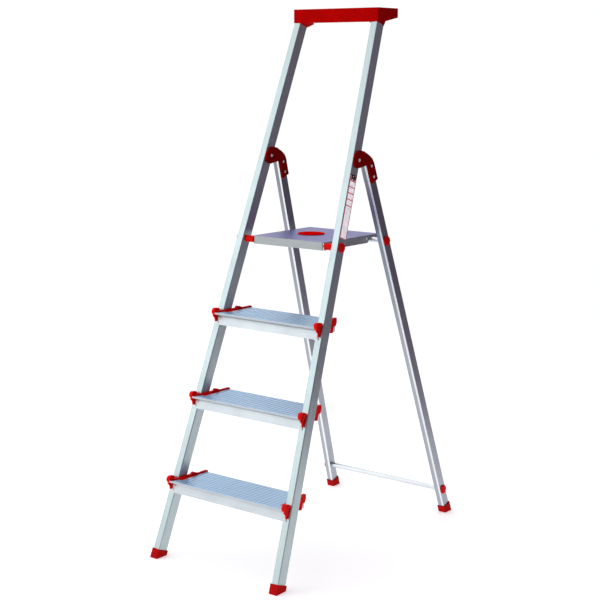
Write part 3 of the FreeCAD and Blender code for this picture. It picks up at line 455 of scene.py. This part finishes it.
# %% Rounded mouldings and fixings
PAIRS = (
    ("front_foot", 0.0022, 3, boot_red),
    ("rear_foot", 0.0022, 3, boot_red),
    ("platform_spacer", 0.0012, 3, red),
    ("rail_plug", 0.0030, 5, red),
    ("upper_bar_plug", 0.0030, 5, red),
    ("lower_bar_plug", 0.0030, 5, red),
    ("hinge_shell", 0.0016, 4, shell_red),
    ("hinge_strap", 0.0004, 2, bar_metal),
    ("hinge_pin", 0.0006, 3, rivet_metal),
    ("platform_pivot", 0.0006, 3, rivet_metal),
    ("leg_rivets", 0.0006, 3, rivet_metal),
    ("hinge_washers", 0.0002, 2, washer_white),
    ("hook_saddle", 0.0008, 2, black),
    ("tread_cap_1", 0.0017, 4, red),
    ("tread_cap_2", 0.0017, 4, red),
    ("tread_cap_3", 0.0017, 4, red),
)
for name in ("left", "right"):
    for kind, radius, segments, finish in PAIRS:
        rounded(f"{kind}_{name}", radius, segments, finish)
rounded("tool_tray", 0.0012, 3, tray_red)
rounded("platform_disc", 0.0010, 3, disc_red)
for node in ("tread_rivets", "tray_screws", "saddle_rivets"):
    rounded(node, 0.0004, 2, rivet_metal)

# %% [markdown]
# ## Treads
# Each tread is an extruded channel: a top with grip ribs, a slanted band below its bright nose, and
# a flange riveted to the rails. The channel is a rounded copy of the measured one. Its top faces
# take a duller finish than its front, with a bluer colour that is a painted reflection of the room.

# %% Tread channels
tread_side = drawn_aluminium("tread_drawn", (1, 0, 0), (0.53, 0.57, 0.60))
# The tops and ribs are the same metal as the front, painted bluer as a reflection of the room.
tread_top_painted_reflection = drawn_aluminium("tread_top_painted_reflection", (0, 1, 0), (0.52, 0.735, 0.97), shine=0.36, metal=0.75)


def top_is_second(face):
    """Second finish for faces that look straight up, first for all others."""
    return 1 if face.normal.z > 0.98 else 0


for number in (1, 2, 3):
    rounded(f"tread_{number}", 0.0006, 2, tread_side, tread_top_painted_reflection, paint=top_is_second)

# %% [markdown]
# ## Grip ribs
# The ribs run from the nose to the back of a tread, wide ones with a thin one between. A bump map
# could draw them, but a boot and a lamp both find real ribs, and they should be there in the
# mesh too. One rib is a cube stretched to a bar with its two upper edges beveled, and rows of it
# stand side by side. Ahead of the rails the tread is wider, and short ribs fill that part.

# %% Grip ribs
RIB_PITCH = 0.0145
RIB_WIDTH = 0.0092
RIB_HEIGHT = 0.0007
THIN_RIB_WIDTH = 0.0014
THIN_RIB_HEIGHT = RIB_HEIGHT * 0.6
NOSE_MARGIN = 0.0035
BACK_MARGIN = 0.0015
CAP_MARGIN = 0.0015
FRONT_ZONE = 0.025
SHOULDER_MARGIN = 0.0085


def rib(mesh, x, y_range, z, width, height):
    """Adds one bar along Y that stands on height z, with its upper edges beveled."""
    made = bmesh.ops.create_cube(mesh, size=1.0)["verts"]
    length = y_range[1] - y_range[0]
    bmesh.ops.scale(mesh, vec=(width, length, height), verts=made)
    bmesh.ops.translate(mesh, vec=(x, sum(y_range) / 2, z + height / 2), verts=made)
    upper = [edge for edge in {e for v in made for e in v.link_edges}
             if all(v.co.z > z + height / 2 for v in edge.verts)]
    bmesh.ops.bevel(mesh, geom=upper, offset=height * 0.45, segments=1, profile=0.5,
                    affect="EDGES", clamp_overlap=True, material=-1)


def rib_row(mesh, places, y_range, z, width, height):
    for x in places:
        rib(mesh, x, y_range, z, width, height)


for number in (1, 2, 3):
    low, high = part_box(f"tread_{number}")
    cap_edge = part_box(f"tread_cap_{number}_right")[0].x - CAP_MARGIN
    shoulder = high.x - SHOULDER_MARGIN
    full = (low.y + NOSE_MARGIN, high.y - BACK_MARGIN)
    front = (low.y + NOSE_MARGIN, low.y + FRONT_ZONE)
    count = int(cap_edge // RIB_PITCH)
    wide = [step * RIB_PITCH for step in range(-count, count + 1)]
    thin = [x + RIB_PITCH / 2 for x in wide[:-1]]
    outer = [side * (count + extra) * RIB_PITCH for side in (-1, 1) for extra in (1, 2)
             if (count + extra) * RIB_PITCH < shoulder - RIB_WIDTH / 2]
    grip = bmesh.new()
    rib_row(grip, wide, full, high.z, RIB_WIDTH, RIB_HEIGHT)
    rib_row(grip, thin, full, high.z, THIN_RIB_WIDTH, THIN_RIB_HEIGHT)
    rib_row(grip, outer, front, high.z, RIB_WIDTH, RIB_HEIGHT)
    # The ribs carry the tread tops' painted reflection.
    piece = show(grip, f"tread_{number}_grip", f"tread_{number}", tread_top_painted_reflection)
    print(piece.name, len(wide) + len(outer), "ribs")

# %% [markdown]
# ## Platform
# The platform is a folded pan. Its top is a smooth satin, painted darker and slightly violet as a
# reflection of the dim room, while the folded edges show the brushed sheet. Two objects could carry
# the two finishes, but the sheet is one piece, so one rounded copy carries both: the flat top faces
# take the painted reflection and all others the brushed sheet.

# %% Platform
pan_edge = drawn_aluminium("pan_brushed", (1, 0, 0), (0.42, 0.45, 0.46), shine=0.40)
# The top faces: the same sheet, painted darker and violet as a reflection of the dim room.
pan_top_painted_reflection = drawn_aluminium("pan_painted_reflection", (0.3, 1, 0), (0.165, 0.16, 0.42), shine=0.40, metal=0.6,
                          line=0.0012, depth=0.00002)
rounded("platform_pan", 0.0012, 3, pan_edge, pan_top_painted_reflection, paint=top_is_second)
for number in (1, 2):
    rounded(f"platform_stiffener_{number}", 0.0004, 2, pan_edge)
for node in ("upper_crossbar", "lower_crossbar"):
    nodes[node].data.materials.clear()
    nodes[node].data.materials.append(bar_metal)

# %% [markdown]
# ## Guidance label
# A strip of printed film runs down the outside of the right rail: a dark heading, four white
# panels with thin red borders, then one long panel of small grey lines. The print means nothing.
# An image would blur at this size and would need a place on disk, while two coordinates are enough
# to draw it: one down the rail from the top of the film and one across it. The film glows faintly
# in its own colours, because white print on a shaded side still reads as white.

# %% Label
HEADING = 0.018
PANELS = 0.090
PANEL_PITCH = 0.018
BORDER = 0.0028
LABEL_LENGTH = 0.186
LINE_PITCH = 0.0034
HALF_WIDTH_INSIDE_BORDER = 0.0128
HALF_WIDTH_OF_PRINT = 0.0105

label = Finish("label_print")
place = label.place()
low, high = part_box("guidance_label")
rail_way = Vector((-SIDE_LEAN, FRONT_LEAN, 1)).normalized()
across_way = Vector((0, 1, -FRONT_LEAN)).normalized()
middle = (low + high) / 2
down = (LABEL_LENGTH / 2 + middle.dot(rail_way)) - label.dot(place, rail_way)
across = label.dot(place, across_way) - middle.dot(across_way)
off_centre = abs(across)
in_heading = down < HEADING
in_small = down > PANELS
step = (down * (1 / PANEL_PITCH)).fraction()
bar_red = (step < BORDER / PANEL_PITCH) * (down > HEADING - 0.001) * (down < PANELS + BORDER)
frame_red = (off_centre > HALF_WIDTH_INSIDE_BORDER) + (down > LABEL_LENGTH - BORDER / 2)
border = (bar_red + frame_red).ramp(0, 1)
word = label.noise(label.drawn(place, across_way, 0.2), 0.0035, 1.0) > 0.50
small_line = (down * (1 / LINE_PITCH)).fraction() > 0.5
big_mark = label.noise(place, 0.007, 1.0) > 0.58
print_area = off_centre < HALF_WIDTH_OF_PRINT
ink = (small_line * word * in_small + big_mark * (1 - in_small)) * print_area
paper = label.blend(ink * 0.55, (0.95, 0.93, 0.95), (0.30, 0.30, 0.36))
dark = label.blend(big_mark, (0.03, 0.01, 0.015), (0.6, 0.58, 0.58))
print_colour = label.blend(border, label.blend(in_heading, paper, dark), (0.62, 0.01, 0.05))
label.shade(Base_Color=print_colour, Emission_Color=print_colour, Emission_Strength=0.50,
            Roughness=label.noise(place, 0.01).ramp(0.3, 0.7, 0.25, 0.38),
            Normal=label.bump(label.noise(place, 0.0012), 0.00003))
nodes["guidance_label"].data.materials.clear()
nodes["guidance_label"].data.materials.append(label.data)
print("label: heading, four panels and a long one")
